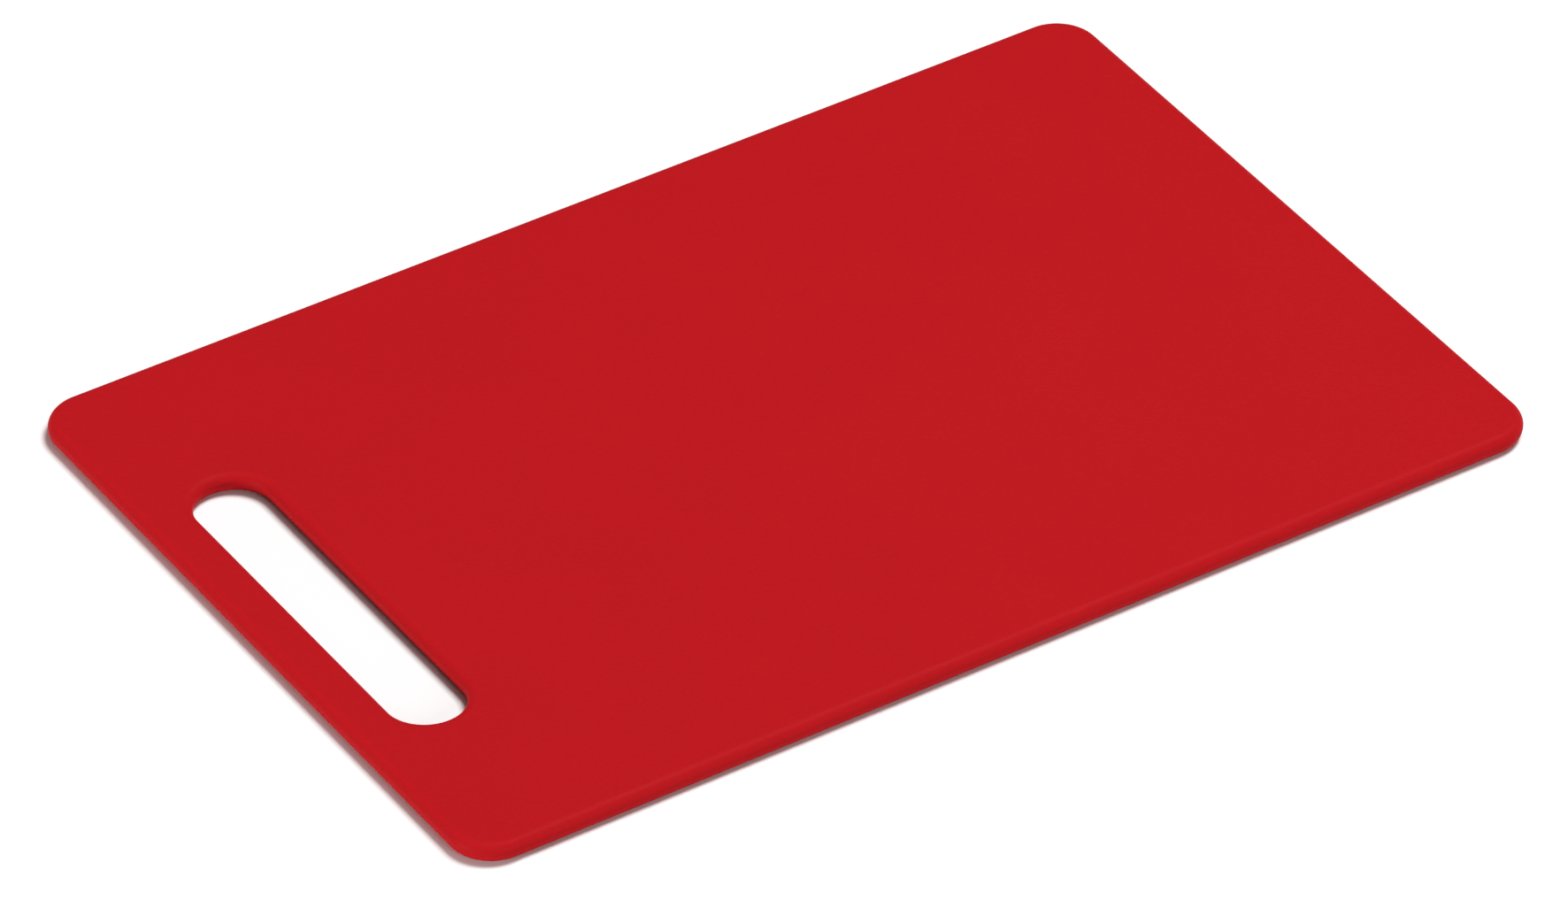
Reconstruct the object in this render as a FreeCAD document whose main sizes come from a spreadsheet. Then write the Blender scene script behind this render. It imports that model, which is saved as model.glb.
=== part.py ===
import FreeCAD, Part
import math
import os

import Sketcher

# Cutting board: one moulded plastic slab with rounded corners, a long grip slot across one end
# and a full-round edge everywhere, outside and inside the slot.
#
# Frame, in millimetres: the board lies flat on Z = 0 with +Z up. Its length runs along X, with
# the grip slot at the -X end, and its width runs along Y. The origin is the middle of the
# underside.

# Driving dimensions: alias, value, meaning.
DIMENSIONS = [
    ("board_length", 290.0, "overall length, along X"),
    ("board_width", 195.0, "overall width, along Y"),
    ("board_thickness", 5.0, "underside to cutting face"),
    ("corner_radius", 11.0, "radius of the four corners seen from above"),
    ("parting_land", 0.1, "flat band left at the mould's parting line, halfway up every edge"),
    ("grip_width", 12.0, "width of the bar between the end of the board and the slot"),
    ("slot_width", 19.0, "slot opening, along X"),
    ("slot_length", 102.0, "slot opening, along Y, over its half-round ends"),
]

# Places on a sketch element, as the Sketcher numbers them.
START = 1
END = 2
CENTRE = 3
ORIGIN = (-1, 1)
X_AXIS = -1

SHAPE_TOLERANCE = 1e-6
PARTS_FOLDER = "parts"


def make_sheet(doc):
    """Put the driving dimensions in a spreadsheet, one row each, and name every value."""
    sheet = doc.addObject("Spreadsheet::Sheet", "dimensions")
    for row, (alias, value, meaning) in enumerate(DIMENSIONS, start=1):
        sheet.set(f"A{row}", alias)
        sheet.set(f"B{row}", str(value))
        sheet.set(f"C{row}", meaning)
        sheet.setAlias(f"B{row}", alias)
    doc.recompute()
    return sheet


def origin_plane(body, role):
    """Find one of the body's own origin planes, such as XY_Plane."""
    return next(plane for plane in body.Origin.OriginFeatures if plane.Role == role)


def flat_sketch(body, name):
    """Add an empty sketch that lies on the body's own XY plane, the board's underside."""
    sketch = body.newObject("Sketcher::SketchObject", name)
    sketch.AttachmentSupport = [(origin_plane(body, "XY_Plane"), "")]
    sketch.MapMode = "FlatFace"
    return sketch


def add_line(sketch, start, end):
    """Add a straight side to a sketch."""
    return sketch.addGeometry(Part.LineSegment(FreeCAD.Vector(*start), FreeCAD.Vector(*end)))


def add_arc(sketch, centre, radius, first_degrees, last_degrees):
    """Add an arc that runs anticlockwise between two directions."""
    circle = Part.Circle(FreeCAD.Vector(*centre), FreeCAD.Vector(0, 0, 1), radius)
    arc = Part.ArcOfCircle(circle, math.radians(first_degrees), math.radians(last_degrees))
    return sketch.addGeometry(arc)


def join_in_a_loop(sketch, pieces):
    """Join each piece's end to the next piece's start, smoothly, all the way round."""
    for piece, following in zip(pieces, pieces[1:] + pieces[:1]):
        sketch.addConstraint(Sketcher.Constraint("Tangent", piece, END, following, START))


def drive(sketch, name, constraint, formula):
    """Add a dimension to a sketch, name it and bind it to the sheet."""
    index = sketch.addConstraint(constraint)
    sketch.renameConstraint(index, name)
    sketch.setExpression(f"Constraints.{name}", formula)


def draw_outline(body, sheet):
    """Draw the board's outline: a rectangle with four equal round corners about the origin."""
    half_x = sheet.board_length / 2
    half_y = sheet.board_width / 2
    radius = sheet.corner_radius
    inner_x = half_x - radius
    inner_y = half_y - radius
    sketch = flat_sketch(body, "outline")
    front = add_line(sketch, (-inner_x, -half_y, 0), (inner_x, -half_y, 0))
    front_right = add_arc(sketch, (inner_x, -inner_y, 0), radius, 270, 360)
    far_end = add_line(sketch, (half_x, -inner_y, 0), (half_x, inner_y, 0))
    back_right = add_arc(sketch, (inner_x, inner_y, 0), radius, 0, 90)
    back = add_line(sketch, (inner_x, half_y, 0), (-inner_x, half_y, 0))
    back_left = add_arc(sketch, (-inner_x, inner_y, 0), radius, 90, 180)
    grip_end = add_line(sketch, (-half_x, inner_y, 0), (-half_x, -inner_y, 0))
    front_left = add_arc(sketch, (-inner_x, -inner_y, 0), radius, 180, 270)
    corners = [front_right, back_right, back_left, front_left]
    loop = [front, front_right, far_end, back_right, back, back_left, grip_end, front_left]
    join_in_a_loop(sketch, loop)
    for side in (front, back):
        sketch.addConstraint(Sketcher.Constraint("Horizontal", side))
    for side in (far_end, grip_end):
        sketch.addConstraint(Sketcher.Constraint("Vertical", side))
    for arc, following in zip(corners, corners[1:]):
        sketch.addConstraint(Sketcher.Constraint("Equal", arc, following))
    sketch.addConstraint(Sketcher.Constraint("Symmetric", front_left, CENTRE, back_right, CENTRE, *ORIGIN))
    length = Sketcher.Constraint("DistanceX", grip_end, START, far_end, START, 2 * half_x)
    width = Sketcher.Constraint("DistanceY", front, START, back, START, 2 * half_y)
    corner = Sketcher.Constraint("Radius", front_right, radius)
    drive(sketch, "outline_length", length, "dimensions.board_length")
    drive(sketch, "outline_width", width, "dimensions.board_width")
    drive(sketch, "outline_corner", corner, "dimensions.corner_radius")
    return sketch


def draw_slot(body, sheet):
    """Draw the grip slot: two straight sides along Y and half-round ends, centred on X's axis."""
    near_x = -sheet.board_length / 2 + sheet.grip_width
    radius = sheet.slot_width / 2
    far_x = near_x + sheet.slot_width
    middle_x = near_x + radius
    centre_y = sheet.slot_length / 2 - radius
    sketch = flat_sketch(body, "slot_outline")
    far_side = add_line(sketch, (far_x, -centre_y, 0), (far_x, centre_y, 0))
    back_end = add_arc(sketch, (middle_x, centre_y, 0), radius, 0, 180)
    near_side = add_line(sketch, (near_x, centre_y, 0), (near_x, -centre_y, 0))
    front_end = add_arc(sketch, (middle_x, -centre_y, 0), radius, 180, 360)
    join_in_a_loop(sketch, [far_side, back_end, near_side, front_end])
    sketch.addConstraint(Sketcher.Constraint("Equal", back_end, front_end))
    sketch.addConstraint(Sketcher.Constraint("Symmetric", front_end, CENTRE, back_end, CENTRE, X_AXIS))
    end_radius = Sketcher.Constraint("Radius", back_end, radius)
    end_spacing = Sketcher.Constraint("DistanceY", front_end, CENTRE, back_end, CENTRE, 2 * centre_y)
    place = Sketcher.Constraint("DistanceX", near_side, START, *ORIGIN, -near_x)
    drive(sketch, "slot_end_radius", end_radius, "dimensions.slot_width / 2")
    drive(sketch, "slot_end_spacing", end_spacing, "dimensions.slot_length - dimensions.slot_width")
    drive(sketch, "slot_place", place, "dimensions.board_length / 2 - dimensions.grip_width")
    return sketch


def level_faces(shape, heights):
    """Name the flat horizontal faces that lie at the given heights."""
    names = []
    for number, face in enumerate(shape.Faces, start=1):
        box = face.BoundBox
        level = box.ZLength < SHAPE_TOLERANCE
        if level and any(abs(box.ZMin - height) < SHAPE_TOLERANCE for height in heights):
            names.append(f"Face{number}")
    return names


def make_board(doc, sheet):
    """Build the board: pad the outline, cut the grip slot and round both rims of every edge."""
    body = doc.addObject("PartDesign::Body", "board")
    body.Label = "board"

    slab = body.newObject("PartDesign::Pad", "slab")
    slab.Profile = draw_outline(body, sheet)
    slab.setExpression("Length", "dimensions.board_thickness")
    doc.recompute()
    slab_volume = slab.Shape.Volume

    slot = body.newObject("PartDesign::Pocket", "grip_slot")
    slot.Profile = draw_slot(body, sheet)
    slot.Type = "ThroughAll"
    slot.Reversed = True
    doc.recompute()
    straight = sheet.slot_length - sheet.slot_width
    slot_area = straight * sheet.slot_width + math.pi * (sheet.slot_width / 2) ** 2
    removed = slab_volume - slot.Shape.Volume
    if abs(removed - slot_area * sheet.board_thickness) > 1.0:
        raise RuntimeError(f"the grip slot removed {removed:.1f} cubic mm")

    rims = body.newObject("PartDesign::Fillet", "full_round_edges")
    rims.Base = (slot, level_faces(slot.Shape, (0.0, sheet.board_thickness)))
    rims.setExpression("Radius", "(dimensions.board_thickness - dimensions.parting_land) / 2")
    doc.recompute()
    body.Tip = rims
    body.Placement = FreeCAD.Placement()
    return body


def check_document(doc, subparts):
    """Stop if an object failed to rebuild, a sketch is loose or a sub-part has no valid solid."""
    for item in doc.Objects:
        if "Invalid" in item.State or "Error" in item.State:
            raise RuntimeError(f"{item.Name} did not rebuild: {item.State}")
        if item.isDerivedFrom("Sketcher::SketchObject") and not item.FullyConstrained:
            raise RuntimeError(f"{item.Name} is not fully constrained")
    for subpart in subparts:
        if subpart.Shape.isNull() or not subpart.Shape.isValid():
            raise RuntimeError(f"{subpart.Label} has no valid shape")


def write_parts(subparts):
    """Write each sub-part to a STEP file that carries its name."""
    os.makedirs(PARTS_FOLDER, exist_ok=True)
    for subpart in subparts:
        subpart.Shape.exportStep(f"{PARTS_FOLDER}/{subpart.Label}.step")
        box = subpart.Shape.optimalBoundingBox()
        size = f"{box.XLength:.2f} x {box.YLength:.2f} x {box.ZLength:.2f} mm"
        print(f"{subpart.Label}: {size}, {subpart.Shape.Volume / 1000:.2f} cubic cm")


def main():
    doc = FreeCAD.newDocument("cutting_board")
    sheet = make_sheet(doc)
    subparts = [make_board(doc, sheet)]
    doc.recompute()
    check_document(doc, subparts)
    write_parts(subparts)


main()
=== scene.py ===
import math

import bpy
from bpy.props import (
    FloatProperty,
    FloatVectorProperty,
    IntProperty,
    PointerProperty,
)
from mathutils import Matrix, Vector


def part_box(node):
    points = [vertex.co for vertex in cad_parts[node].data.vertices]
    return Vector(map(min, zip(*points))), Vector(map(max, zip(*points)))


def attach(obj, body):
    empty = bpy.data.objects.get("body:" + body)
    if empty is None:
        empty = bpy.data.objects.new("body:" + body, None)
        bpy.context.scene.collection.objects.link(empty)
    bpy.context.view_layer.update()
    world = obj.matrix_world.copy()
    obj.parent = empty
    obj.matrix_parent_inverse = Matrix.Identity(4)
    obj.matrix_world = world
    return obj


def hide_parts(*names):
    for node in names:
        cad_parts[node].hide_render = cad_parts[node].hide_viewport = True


bl_info = {
    "name": "Moulded Cutting Board",
    "version": (1, 0, 0),
    "blender": (4, 5, 0),
    "location": "3D View > Sidebar > Cutting Board",
    "description": "Makes a moulded plastic cutting board with a grip slot, and its studio stage",
    "category": "Add Mesh",
}

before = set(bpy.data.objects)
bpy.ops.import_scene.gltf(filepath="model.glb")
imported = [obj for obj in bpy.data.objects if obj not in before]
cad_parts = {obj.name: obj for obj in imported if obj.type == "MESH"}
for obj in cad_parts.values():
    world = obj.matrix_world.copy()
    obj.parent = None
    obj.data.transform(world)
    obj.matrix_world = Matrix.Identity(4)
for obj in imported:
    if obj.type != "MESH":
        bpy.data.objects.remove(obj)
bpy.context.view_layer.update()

MM = 0.001
BODY = "root"
NODE = "board"
BOARD_LOW, BOARD_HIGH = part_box(NODE)
BOARD_SIZE = BOARD_HIGH - BOARD_LOW


# --- Settings -----------------------------------------------------------------------------------


def length_setting(name, description, default):
    """A size in metres that is shown in the scene's own units."""
    return FloatProperty(
        name=name, description=description, default=default, min=0.0, precision=5,
        subtype="DISTANCE", unit="LENGTH",
    )


def share_setting(name, description, default):
    """A strength from 0 to 1."""
    return FloatProperty(
        name=name, description=description, default=default, min=0.0, max=1.0, subtype="FACTOR",
    )


def colour_setting(name, description, default):
    """A linear colour."""
    return FloatVectorProperty(
        name=name, description=description, default=default, min=0.0, max=1.0, subtype="COLOR",
    )


class BoardSizes(bpy.types.PropertyGroup):
    """The moulded slab's sizes."""

    length: length_setting("Length", "Overall length, along X", BOARD_SIZE.x)
    width: length_setting("Width", "Overall width, along Y", BOARD_SIZE.y)
    thickness: length_setting("Thickness", "Underside to cutting face", BOARD_SIZE.z)
    corner_radius: length_setting("Corner Radius", "Corners, seen from above", 11.0 * MM)
    grip_width: length_setting("Grip Width", "Bar between the end and the slot", 12.0 * MM)
    slot_width: length_setting("Slot Width", "Slot opening, along X", 19.0 * MM)
    slot_length: length_setting("Slot Length", "Slot opening, along Y", 102.0 * MM)
    parting_land: length_setting("Parting Land", "Flat band halfway up every edge", 0.1 * MM)
    lead_in: length_setting("Lead-in", "Flat ring beside every rounded edge", 1.0 * MM)
    corner_steps: IntProperty(
        name="Corner Steps", description="Straight pieces in each quarter turn", default=32, min=4,
    )
    edge_steps: IntProperty(
        name="Edge Steps", description="Straight pieces in each rounded rim", default=12, min=3,
    )


class PlasticFinish(bpy.types.PropertyGroup):
    """The moulded plastic's colour and surface."""

    colour: colour_setting("Colour", "Pigment of the plastic", (0.418, 0.0081, 0.0114))
    grain_size: length_setting("Grain Size", "Width of one cell of the moulded grain", 1.1 * MM)
    grain_depth: length_setting("Grain Depth", "Height of the grain on the faces", 0.05 * MM)
    roughness: share_setting("Roughness", "Roughness of the grained faces", 0.52)


class StageLook(bpy.types.PropertyGroup):
    """The floor, the camera and the lights."""

    floor_colour: colour_setting("Floor Colour", "Plain pale floor", (0.92, 0.92, 0.92))
    room_colour: colour_setting("Room Colour", "Even light from all round", (0.06, 0.06, 0.06))
    azimuth: FloatProperty(
        name="Camera Azimuth", description="Way round the board, 0 looks along +Y",
        default=math.radians(-33.0), subtype="ANGLE", unit="ROTATION",
    )
    elevation: FloatProperty(
        name="Camera Elevation", description="Height above the horizon",
        default=math.radians(37.8), subtype="ANGLE", unit="ROTATION",
    )
    distance: length_setting("Camera Distance", "From the aiming point to the camera", 2.88)
    lens: FloatProperty(
        name="Lens", description="Focal length on a 36 mm wide sensor", default=286.6, min=1.0,
        subtype="DISTANCE_CAMERA", unit="CAMERA",
    )
    light: FloatProperty(
        name="Light", description="Strength of all the lamps together", default=1.0, min=0.0,
    )


class CuttingBoardSettings(bpy.types.PropertyGroup):
    """Everything that the panel shows."""

    sizes: PointerProperty(type=BoardSizes)
    finish: PointerProperty(type=PlasticFinish)
    stage: PointerProperty(type=StageLook)


# --- Node helpers -------------------------------------------------------------------------------


def add_node(tree, kind, **settings):
    """Add a node to a tree with its settings."""
    node = tree.nodes.new(kind)
    for name, value in settings.items():
        setattr(node, name, value)
    return node


def feed(tree, socket, value):
    """Give an input its value: the output of another node, or a plain number or vector."""
    if isinstance(value, bpy.types.NodeSocket):
        tree.links.new(value, socket)
    else:
        socket.default_value = value


def run_node(tree, kind, inputs, **settings):
    """Add a node, feed its named inputs and return its first output."""
    node = add_node(tree, kind, **settings)
    for name, value in inputs.items():
        feed(tree, node.inputs[name], value)
    return node.outputs[0]


def calculate(tree, operation, *values):
    """Add a Math node and return its result."""
    node = add_node(tree, "ShaderNodeMath", operation=operation)
    for socket, value in zip(node.inputs, values):
        feed(tree, socket, value)
    return node.outputs[0]


def vector(tree, x=0.0, y=0.0, z=0.0):
    """Join three numbers or outputs into a vector."""
    return run_node(tree, "ShaderNodeCombineXYZ", {"X": x, "Y": y, "Z": z})


def add_socket(tree, name, kind, default=None, direction="INPUT"):
    """Add a named input or output to a node group."""
    socket = tree.interface.new_socket(name=name, in_out=direction, socket_type=kind)
    if default is not None:
        socket.default_value = default
    return socket


# --- The slab, as geometry nodes ----------------------------------------------------------------

SLAB_LENGTHS = (
    "Length",
    "Width",
    "Thickness",
    "Parting Land",
    "Corner Radius",
    "Grip Width",
    "Slot Width",
    "Slot Length",
    "Lead-in",
)
SLAB_STEPS = ("Corner Steps", "Edge Steps")
MERGE_DISTANCE = 0.002 * MM
ONE_FACE = 1.5


def round_corners(tree, curve, radius, steps):
    """Replace a curve's corners with arcs of short straight pieces."""
    return run_node(
        tree, "GeometryNodeFilletCurve", {"Curve": curve, "Radius": radius, "Count": steps},
        mode="POLY",
    )


def round_loop(tree, length, width, radius, steps):
    """Make a closed rectangle with round corners, about the origin."""
    sides = {"Width": length, "Height": width}
    rectangle = run_node(
        tree, "GeometryNodeCurvePrimitiveQuadrilateral", sides, mode="RECTANGLE"
    )
    return round_corners(tree, rectangle, radius, steps)


def edge_section(tree, rim, half, lead_in, steps):
    """Make an edge's open section: out along the underside, round both rims and back on top."""
    inside = calculate(tree, "MULTIPLY", lead_in, -1.0)
    below = calculate(tree, "MULTIPLY", half, -1.0)
    corners = ((inside, below), (rim, below), (rim, half), (inside, half))
    points = {
        f"Point {number}": vector(tree, x=out, y=up)
        for number, (out, up) in enumerate(corners, start=1)
    }
    section = run_node(tree, "GeometryNodeCurvePrimitiveQuadrilateral", points, mode="POINTS")
    opened = run_node(
        tree, "GeometryNodeSetSplineCyclic", {"Geometry": section, "Cyclic": False}
    )
    return round_corners(tree, opened, rim, steps)


def flat_face(tree, rims, level, side):
    """Fill the rims' open loops on the upper (side 1) or lower (side -1) face."""
    faces_beside = add_node(tree, "GeometryNodeInputMeshEdgeNeighbors").outputs["Face Count"]
    position = add_node(tree, "GeometryNodeInputPosition").outputs["Position"]
    place = add_node(tree, "ShaderNodeSeparateXYZ")
    feed(tree, place.inputs[0], position)
    towards = calculate(tree, "MULTIPLY", place.outputs["Z"], side)
    on_side = calculate(tree, "GREATER_THAN", towards, 0.0)
    open_edge = calculate(tree, "LESS_THAN", faces_beside, ONE_FACE)
    chosen = calculate(tree, "MULTIPLY", on_side, open_edge)
    loops = run_node(tree, "GeometryNodeMeshToCurve", {"Mesh": rims, "Selection": chosen})
    face = run_node(tree, "GeometryNodeFillCurve", {"Curve": loops}, mode="NGONS")
    if side < 0:
        face = run_node(tree, "GeometryNodeFlipFaces", {"Mesh": face})
    height = calculate(tree, "MULTIPLY", level, side)
    return run_node(
        tree, "GeometryNodeTransform", {"Geometry": face, "Translation": vector(tree, z=height)}
    )


def join(tree, *pieces):
    """Join several pieces of geometry into one."""
    node = add_node(tree, "GeometryNodeJoinGeometry")
    for piece in reversed(pieces):
        tree.links.new(piece, node.inputs["Geometry"])
    return node.outputs["Geometry"]


def slab_tree():
    """Build the node tree of a slab with a grip slot and full-round edges, standing on Z = 0."""
    tree = bpy.data.node_groups.new("Moulded Slab", "GeometryNodeTree")
    for name in SLAB_LENGTHS:
        add_socket(tree, name, "NodeSocketFloat")
    for name in SLAB_STEPS:
        add_socket(tree, name, "NodeSocketInt")
    add_socket(tree, "Plastic", "NodeSocketMaterial")
    add_socket(tree, "Geometry", "NodeSocketGeometry", direction="OUTPUT")
    given = add_node(tree, "NodeGroupInput").outputs

    half = calculate(tree, "DIVIDE", given["Thickness"], 2.0)
    half_land = calculate(tree, "DIVIDE", given["Parting Land"], 2.0)
    rim = calculate(tree, "SUBTRACT", half, half_land)
    both_rims = calculate(tree, "MULTIPLY", rim, 2.0)

    outline = round_loop(
        tree,
        calculate(tree, "SUBTRACT", given["Length"], both_rims),
        calculate(tree, "SUBTRACT", given["Width"], both_rims),
        calculate(tree, "SUBTRACT", given["Corner Radius"], rim),
        given["Corner Steps"],
    )

    slot_across = calculate(tree, "ADD", given["Slot Width"], both_rims)
    slot_along = calculate(tree, "ADD", given["Slot Length"], both_rims)
    half_across = calculate(tree, "DIVIDE", slot_across, 2.0)
    end_radius = calculate(tree, "SUBTRACT", half_across, half_land)
    slot = round_loop(tree, slot_across, slot_along, end_radius, given["Corner Steps"])
    half_length = calculate(tree, "DIVIDE", given["Length"], 2.0)
    half_slot = calculate(tree, "DIVIDE", given["Slot Width"], 2.0)
    from_end = calculate(tree, "ADD", given["Grip Width"], half_slot)
    slot_x = calculate(tree, "SUBTRACT", from_end, half_length)
    slot = run_node(
        tree, "GeometryNodeTransform", {"Geometry": slot, "Translation": vector(tree, x=slot_x)}
    )
    slot = run_node(tree, "GeometryNodeReverseCurve", {"Curve": slot})

    loops = run_node(
        tree, "GeometryNodeSetCurveNormal", {"Curve": join(tree, outline, slot)}, mode="Z_UP"
    )
    section = edge_section(tree, rim, half, given["Lead-in"], given["Edge Steps"])
    rims = run_node(tree, "GeometryNodeCurveToMesh", {"Curve": loops, "Profile Curve": section})

    upper = flat_face(tree, rims, half, 1)
    lower = flat_face(tree, rims, half, -1)
    shell = run_node(
        tree, "GeometryNodeMergeByDistance",
        {"Geometry": join(tree, rims, upper, lower), "Distance": MERGE_DISTANCE},
    )
    shell = run_node(
        tree, "GeometryNodeTransform", {"Geometry": shell, "Translation": vector(tree, z=half)}
    )
    shell = run_node(tree, "GeometryNodeSetShadeSmooth", {"Geometry": shell})
    shell = run_node(tree, "GeometryNodeRealizeInstances", {"Geometry": shell})
    shell = run_node(
        tree, "GeometryNodeSetMaterial", {"Geometry": shell, "Material": given["Plastic"]}
    )
    feed(tree, add_node(tree, "NodeGroupOutput").inputs["Geometry"], shell)
    return tree


def mesh_from_tree(name, tree, values):
    """Run a geometry node tree with the given inputs and return a plain mesh piece."""
    carrier = bpy.data.objects.new(name, bpy.data.meshes.new(name))
    bpy.context.scene.collection.objects.link(carrier)
    modifier = carrier.modifiers.new(tree.name, "NODES")
    modifier.node_group = tree
    for item in tree.interface.items_tree:
        if item.in_out == "INPUT":
            modifier[item.identifier] = values[item.name]
    depsgraph = bpy.context.evaluated_depsgraph_get()
    mesh = bpy.data.meshes.new_from_object(carrier.evaluated_get(depsgraph), depsgraph=depsgraph)
    carrier.modifiers.remove(modifier)
    carrier.data = mesh
    mesh.name = name
    for number in reversed(range(len(mesh.materials))):
        if mesh.materials[number] is None:
            mesh.materials.pop(index=number)
    return carrier


# --- The plastic, as shader nodes ---------------------------------------------------------------

PLASTIC_IOR = 1.49
PLASTIC_SHINE = 0.02

# How far out from mid-height, as a share of half the thickness, the face's grain starts and is
# full.
GRAIN_STARTS = 0.55
GRAIN_FULL = 0.98

# Grain: how rounded its cells are, how strongly waves lift them and how fine the waves are.
CELL_SMOOTHNESS = 0.6
GRAIN_UNEVENNESS = 0.6
WAVE_DETAIL = 3.0

# The clouds are the same soft noise as the grain's waves, one step finer.
CLOUD_DETAIL = 4.0
NOISE_ROUGHNESS = 0.55

# On the rounded edge: the share of the face's grain and of its roughness that is left.
EDGE_GRAIN = 0.25
EDGE_POLISH = 0.92
PARTING_LINE_WIDTH = 0.12 * MM
PARTING_LINE_HEIGHT = 0.03 * MM
PIGMENT_CLOUD = 45.0 * MM
PIGMENT_SWING = 0.04
# Painted shade: how much darker the grain's low valleys are painted than its raised cells.
PAINTED_VALLEY_SHADE = 0.06
HANDLING_CLOUD = 30.0 * MM
HANDLING_SWING = 0.12

PAPER_ROUGHNESS = 0.9
PAPER_SHINE = 0.2


def soft_noise(tree, place, scale, detail):
    """Add a soft noise, from 0 to 1."""
    return run_node(
        tree, "ShaderNodeTexNoise",
        {"Vector": place, "Scale": scale, "Detail": detail, "Roughness": NOISE_ROUGHNESS},
    )


def grain_group():
    """Shader group: the fine random grain that a textured mould leaves on plastic."""
    tree = bpy.data.node_groups.new("Moulded Grain", "ShaderNodeTree")
    add_socket(tree, "Vector", "NodeSocketVector")
    add_socket(tree, "Cell Size", "NodeSocketFloat", 0.001)
    add_socket(tree, "Unevenness", "NodeSocketFloat", 0.5)
    add_socket(tree, "Height", "NodeSocketFloat", direction="OUTPUT")
    given = add_node(tree, "NodeGroupInput").outputs
    scale = calculate(tree, "DIVIDE", 1.0, given["Cell Size"])
    coarse_scale = calculate(tree, "MULTIPLY", scale, 0.5)
    cells = run_node(
        tree, "ShaderNodeTexVoronoi",
        {"Vector": given["Vector"], "Scale": scale, "Smoothness": CELL_SMOOTHNESS},
        feature="SMOOTH_F1",
    )
    waves = soft_noise(tree, given["Vector"], coarse_scale, WAVE_DETAIL)
    uneven = calculate(tree, "MULTIPLY", waves, given["Unevenness"])
    height = calculate(tree, "ADD", cells, uneven)
    feed(tree, add_node(tree, "NodeGroupOutput").inputs["Height"], height)
    return tree


def face_mask_group():
    """Shader group: 1 on the flat faces, falling to 0 on the rounded edge between them."""
    tree = bpy.data.node_groups.new("Face Mask", "ShaderNodeTree")
    add_socket(tree, "Vector", "NodeSocketVector")
    add_socket(tree, "Thickness", "NodeSocketFloat", 0.005)
    add_socket(tree, "Faces", "NodeSocketFloat", direction="OUTPUT")
    add_socket(tree, "From Middle", "NodeSocketFloat", direction="OUTPUT")
    given = add_node(tree, "NodeGroupInput").outputs
    place = add_node(tree, "ShaderNodeSeparateXYZ")
    feed(tree, place.inputs[0], given["Vector"])
    half = calculate(tree, "DIVIDE", given["Thickness"], 2.0)
    above_middle = calculate(tree, "SUBTRACT", place.outputs["Z"], half)
    from_middle = calculate(tree, "ABSOLUTE", above_middle)
    share = calculate(tree, "DIVIDE", from_middle, half)
    faces = run_node(
        tree, "ShaderNodeMapRange",
        {"Value": share, "From Min": GRAIN_STARTS, "From Max": GRAIN_FULL},
        interpolation_type="SMOOTHSTEP",
    )
    results = add_node(tree, "NodeGroupOutput").inputs
    feed(tree, results["Faces"], faces)
    feed(tree, results["From Middle"], from_middle)
    return tree


def cloud_group():
    """Shader group: slow, faint unevenness, from 1 - Amount to 1 + Amount."""
    tree = bpy.data.node_groups.new("Slow Clouds", "ShaderNodeTree")
    add_socket(tree, "Vector", "NodeSocketVector")
    add_socket(tree, "Cloud Size", "NodeSocketFloat", 0.04)
    add_socket(tree, "Amount", "NodeSocketFloat", 0.05)
    add_socket(tree, "Factor", "NodeSocketFloat", direction="OUTPUT")
    given = add_node(tree, "NodeGroupInput").outputs
    scale = calculate(tree, "DIVIDE", 1.0, given["Cloud Size"])
    noise = soft_noise(tree, given["Vector"], scale, CLOUD_DETAIL)
    swing = calculate(tree, "MULTIPLY_ADD", noise, 2.0, -1.0)
    factor = calculate(tree, "MULTIPLY_ADD", swing, given["Amount"], 1.0)
    feed(tree, add_node(tree, "NodeGroupOutput").inputs["Factor"], factor)
    return tree


def use_group(tree, group, inputs):
    """Place a node group in a tree with its own values and return its outputs."""
    node = add_node(tree, "ShaderNodeGroup", node_tree=group)
    for name, value in inputs.items():
        feed(tree, node.inputs[name], value)
    return node.outputs


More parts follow.
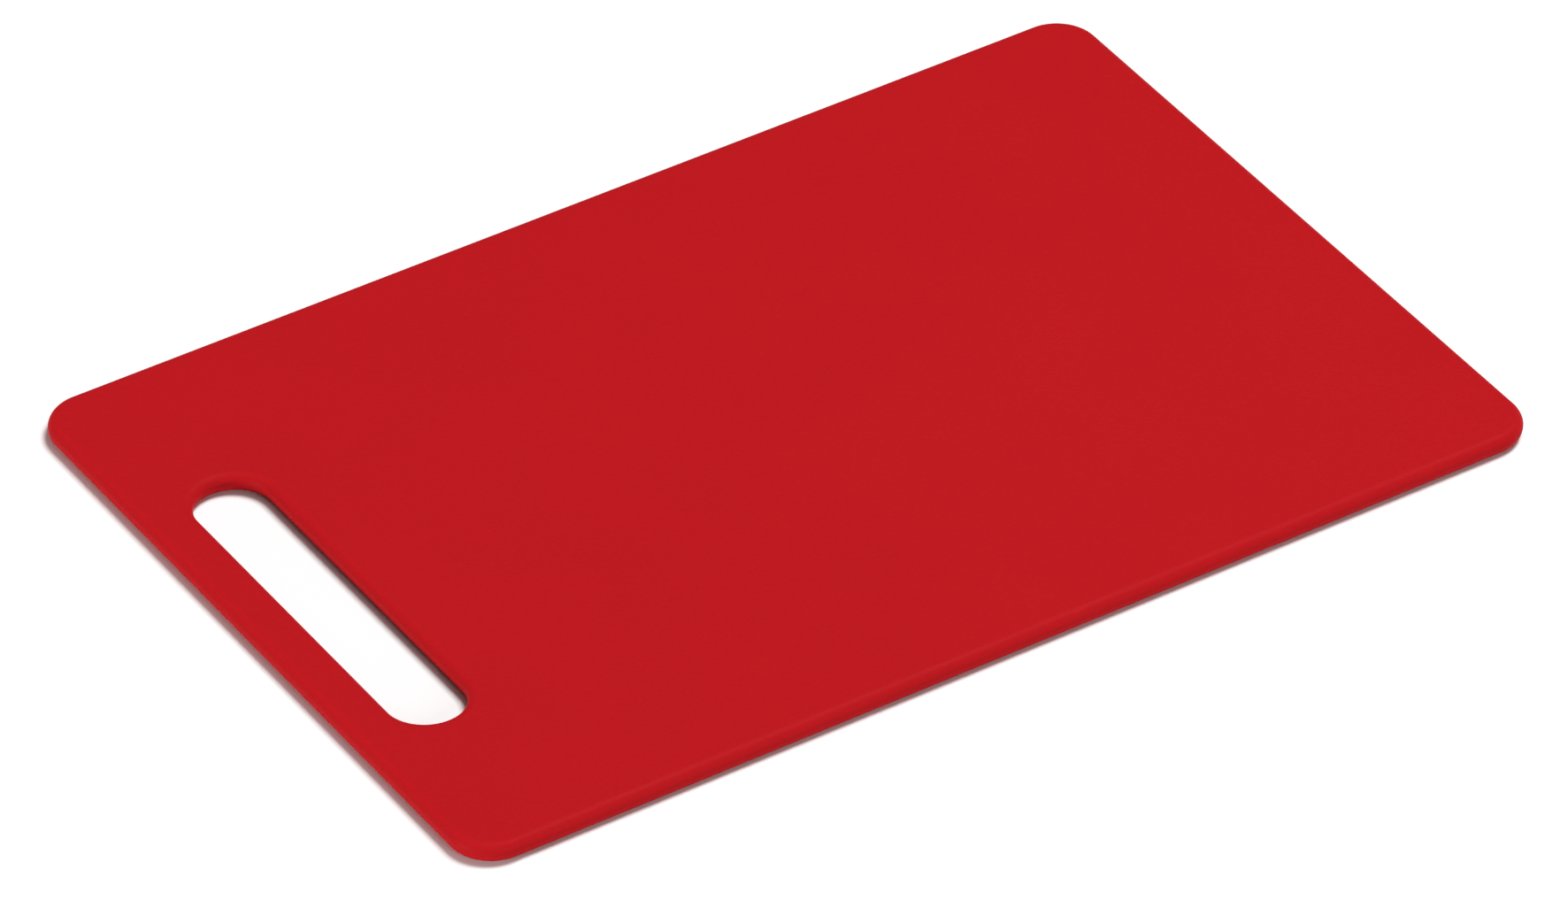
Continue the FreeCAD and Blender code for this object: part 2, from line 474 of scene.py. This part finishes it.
def plastic_material(sizes, finish):
    """Moulded red plastic: grained faces with painted shade in the grain's valleys, smoother rounded
    edges and a fine parting line.
    """
    material = bpy.data.materials.new("red_moulded_plastic")
    material.use_nodes = True
    tree = material.node_tree
    shader = tree.nodes["Principled BSDF"]
    grain = grain_group()
    clouds = cloud_group()
    place = add_node(tree, "ShaderNodeTexCoord").outputs["Object"]

    mask = use_group(tree, face_mask_group(), {"Vector": place, "Thickness": sizes.thickness})
    grain_height = use_group(
        tree, grain, {"Vector": place, "Cell Size": finish.grain_size, "Unevenness": GRAIN_UNEVENNESS}
    )["Height"]
    on_faces = calculate(tree, "MULTIPLY_ADD", mask["Faces"], 1.0 - EDGE_GRAIN, EDGE_GRAIN)
    depth = calculate(tree, "MULTIPLY", on_faces, finish.grain_depth)
    grained = calculate(tree, "MULTIPLY", grain_height, depth)
    line = run_node(
        tree, "ShaderNodeMapRange",
        {
            "Value": mask["From Middle"],
            "From Min": PARTING_LINE_WIDTH,
            "From Max": 0.0,
            "To Max": PARTING_LINE_HEIGHT,
        },
        interpolation_type="SMOOTHSTEP",
    )
    height = calculate(tree, "ADD", grained, line)
    bump = run_node(tree, "ShaderNodeBump", {"Height": height, "Distance": 1.0})
    feed(tree, shader.inputs["Normal"], bump)

    pigment = use_group(
        tree, clouds, {"Vector": place, "Cloud Size": PIGMENT_CLOUD, "Amount": PIGMENT_SWING}
    )["Factor"]
    # Painted shade: the colour is darker in the grain's low valleys and lighter on its raised cells,
    # standing in for the grain's own shading.
    painted_valley_shade = calculate(tree, "MULTIPLY_ADD", grain_height, PAINTED_VALLEY_SHADE, 1.0 - PAINTED_VALLEY_SHADE / 2)
    value = calculate(tree, "MULTIPLY", pigment, painted_valley_shade)
    colour = run_node(
        tree, "ShaderNodeHueSaturation", {"Color": (*finish.colour, 1.0), "Value": value}
    )
    feed(tree, shader.inputs["Base Color"], colour)

    handled = use_group(
        tree, clouds, {"Vector": place, "Cloud Size": HANDLING_CLOUD, "Amount": HANDLING_SWING}
    )["Factor"]
    polish = calculate(tree, "MULTIPLY_ADD", mask["Faces"], 1.0 - EDGE_POLISH, EDGE_POLISH)
    dullness = calculate(tree, "MULTIPLY", handled, polish)
    roughness = calculate(tree, "MULTIPLY", dullness, finish.roughness)
    feed(tree, shader.inputs["Roughness"], roughness)

    shader.inputs["IOR"].default_value = PLASTIC_IOR
    shader.inputs["Specular IOR Level"].default_value = PLASTIC_SHINE
    return material


def floor_material(look):
    """Plain pale studio paper."""
    material = bpy.data.materials.new("studio_paper")
    material.use_nodes = True
    shader = material.node_tree.nodes["Principled BSDF"]
    shader.inputs["Base Color"].default_value = (*look.floor_colour, 1.0)
    shader.inputs["Roughness"].default_value = PAPER_ROUGHNESS
    shader.inputs["Specular IOR Level"].default_value = PAPER_SHINE
    return material


# --- The stage ----------------------------------------------------------------------------------

FLOOR_SIZE = 12.0
FLOOR_GAP = 0.02 * MM
AIM_SHIFT = Vector((-4.6, -6.4, 0.0)) * MM
SENSOR_WIDTH = 36.0
VIEW_REACH = 2.0 * FLOOR_SIZE

# The Mix node has sockets for several kinds of value under the same names: these are its colours.
MIX_COLOUR_A = 6
MIX_COLOUR_B = 7
MIX_COLOUR_RESULT = 2

# Each lamp: name, azimuth and elevation in degrees, distance, width and height in metres,
# and the light it gives to a surface that faces it.
LAMPS = (
    ("key_softbox", 94.0, 67.0, 4.0, 1.7, 1.7, 1.06),
    ("top_softbox", 0.0, 88.0, 2.4, 1.6, 1.6, 0.06),
    ("front_softbox", 0.0, 19.0, 2.4, 1.1, 1.1, 0.30),
    ("end_strip", -90.0, 8.0, 2.4, 1.1, 0.25, 0.65),
)


def direction(azimuth, elevation):
    """The way from the board to something: azimuth 0 is towards -Y and 90 degrees towards +X."""
    return Vector((
        math.sin(azimuth) * math.cos(elevation),
        -math.cos(azimuth) * math.cos(elevation),
        math.sin(elevation),
    ))


def add_object(name, data, place, look_at):
    """Put a camera or a lamp in the scene, pointing at a place."""
    thing = bpy.data.objects.new(name, data)
    thing.location = place
    thing.rotation_euler = (look_at - place).to_track_quat("-Z", "Y").to_euler()
    bpy.context.scene.collection.objects.link(thing)
    return thing


def add_floor(look):
    """Lay a wide plain floor just under the board."""
    reach = FLOOR_SIZE / 2.0
    level = BOARD_LOW.z - FLOOR_GAP
    corners = [(-reach, -reach, level), (reach, -reach, level), (reach, reach, level),
               (-reach, reach, level)]
    mesh = bpy.data.meshes.new("floor")
    mesh.from_pydata(corners, [], [(0, 1, 2, 3)])
    mesh.materials.append(floor_material(look))
    floor = bpy.data.objects.new("floor", mesh)
    bpy.context.scene.collection.objects.link(floor)


def add_lights(look):
    """Hang the soft lamps round the board."""
    for name, azimuth, elevation, distance, width, height, brightness in LAMPS:
        lamp = bpy.data.lights.new(name, "AREA")
        lamp.shape = "RECTANGLE"
        lamp.size = width
        lamp.size_y = height
        lamp.energy = look.light * brightness * (math.pi * distance) ** 2
        place = direction(math.radians(azimuth), math.radians(elevation)) * distance
        add_object(name, lamp, place, Vector()).visible_camera = False


def add_camera(look):
    """Set up the camera that the scene is seen through."""
    camera = bpy.data.cameras.new("camera")
    camera.sensor_width = SENSOR_WIDTH
    camera.lens = look.lens
    camera.clip_end = VIEW_REACH
    place = AIM_SHIFT + direction(look.azimuth, look.elevation) * look.distance
    bpy.context.scene.camera = add_object("camera", camera, place, AIM_SHIFT)


def add_surroundings(scene, look):
    """Light the room dimly and evenly, but show it to the camera as pale as the floor.

    Colours are shown as they are, with no film look.
    """
    world = bpy.data.worlds.new("studio")
    world.use_nodes = True
    tree = world.node_tree
    seen = add_node(tree, "ShaderNodeLightPath").outputs["Is Camera Ray"]
    colour = add_node(tree, "ShaderNodeMix", data_type="RGBA")
    feed(tree, colour.inputs["Factor"], seen)
    feed(tree, colour.inputs[MIX_COLOUR_A], (*look.room_colour, 1.0))
    feed(tree, colour.inputs[MIX_COLOUR_B], (*look.floor_colour, 1.0))
    feed(tree, tree.nodes["Background"].inputs["Color"], colour.outputs[MIX_COLOUR_RESULT])
    scene.world = world
    scene.view_settings.view_transform = "Standard"


# --- Operators ----------------------------------------------------------------------------------


class CUTTINGBOARD_OT_add_board(bpy.types.Operator):
    """Make the moulded board with its grip slot and full-round edges"""

    bl_idname = "cutting_board.add_board"
    bl_label = "Add Board"

    def execute(self, context):
        settings = context.scene.cutting_board
        sizes = settings.sizes
        values = {
            "Length": sizes.length,
            "Width": sizes.width,
            "Thickness": sizes.thickness,
            "Parting Land": sizes.parting_land,
            "Corner Radius": sizes.corner_radius,
            "Grip Width": sizes.grip_width,
            "Slot Width": sizes.slot_width,
            "Slot Length": sizes.slot_length,
            "Lead-in": sizes.lead_in,
            "Corner Steps": sizes.corner_steps,
            "Edge Steps": sizes.edge_steps,
            "Plastic": plastic_material(sizes, settings.finish),
        }
        board = mesh_from_tree("board_shell", slab_tree(), values)
        if not board.data.polygons:
            raise RuntimeError("the slab's node tree made no faces")
        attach(board, BODY)
        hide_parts(NODE)
        return {"FINISHED"}


class CUTTINGBOARD_OT_add_stage(bpy.types.Operator):
    """Make the floor, the soft lights and the camera"""

    bl_idname = "cutting_board.add_stage"
    bl_label = "Add Stage"

    def execute(self, context):
        look = context.scene.cutting_board.stage
        add_floor(look)
        add_lights(look)
        add_camera(look)
        add_surroundings(context.scene, look)
        return {"FINISHED"}


# --- Panel and add-on ---------------------------------------------------------------------------


class CUTTINGBOARD_PT_sidebar(bpy.types.Panel):
    """The board's sizes, its finish, its stage and the buttons that make them"""

    bl_idname = "CUTTINGBOARD_PT_sidebar"
    bl_label = "Cutting Board"
    bl_space_type = "VIEW_3D"
    bl_region_type = "UI"
    bl_category = "Cutting Board"

    def draw(self, context):
        settings = context.scene.cutting_board
        for group in (settings.sizes, settings.finish, settings.stage):
            column = self.layout.column(align=True)
            for name in group.__annotations__:
                column.prop(group, name)
        for operator in OPERATORS:
            self.layout.operator(operator.bl_idname)


OPERATORS = (CUTTINGBOARD_OT_add_board, CUTTINGBOARD_OT_add_stage)
CLASSES = (
    BoardSizes,
    PlasticFinish,
    StageLook,
    CuttingBoardSettings,
    *OPERATORS,
    CUTTINGBOARD_PT_sidebar,
)


def register():
    """Make the classes known to Blender and give the scene its settings."""
    for kind in CLASSES:
        bpy.utils.register_class(kind)
    bpy.types.Scene.cutting_board = PointerProperty(type=CuttingBoardSettings)


def unregister():
    """Take the settings and the classes away again."""
    del bpy.types.Scene.cutting_board
    for kind in reversed(CLASSES):
        bpy.utils.unregister_class(kind)


def main():
    """Register the add-on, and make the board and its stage."""
    register()
    bpy.ops.cutting_board.add_board()
    bpy.ops.cutting_board.add_stage()


if __name__ == "__main__":
    main()
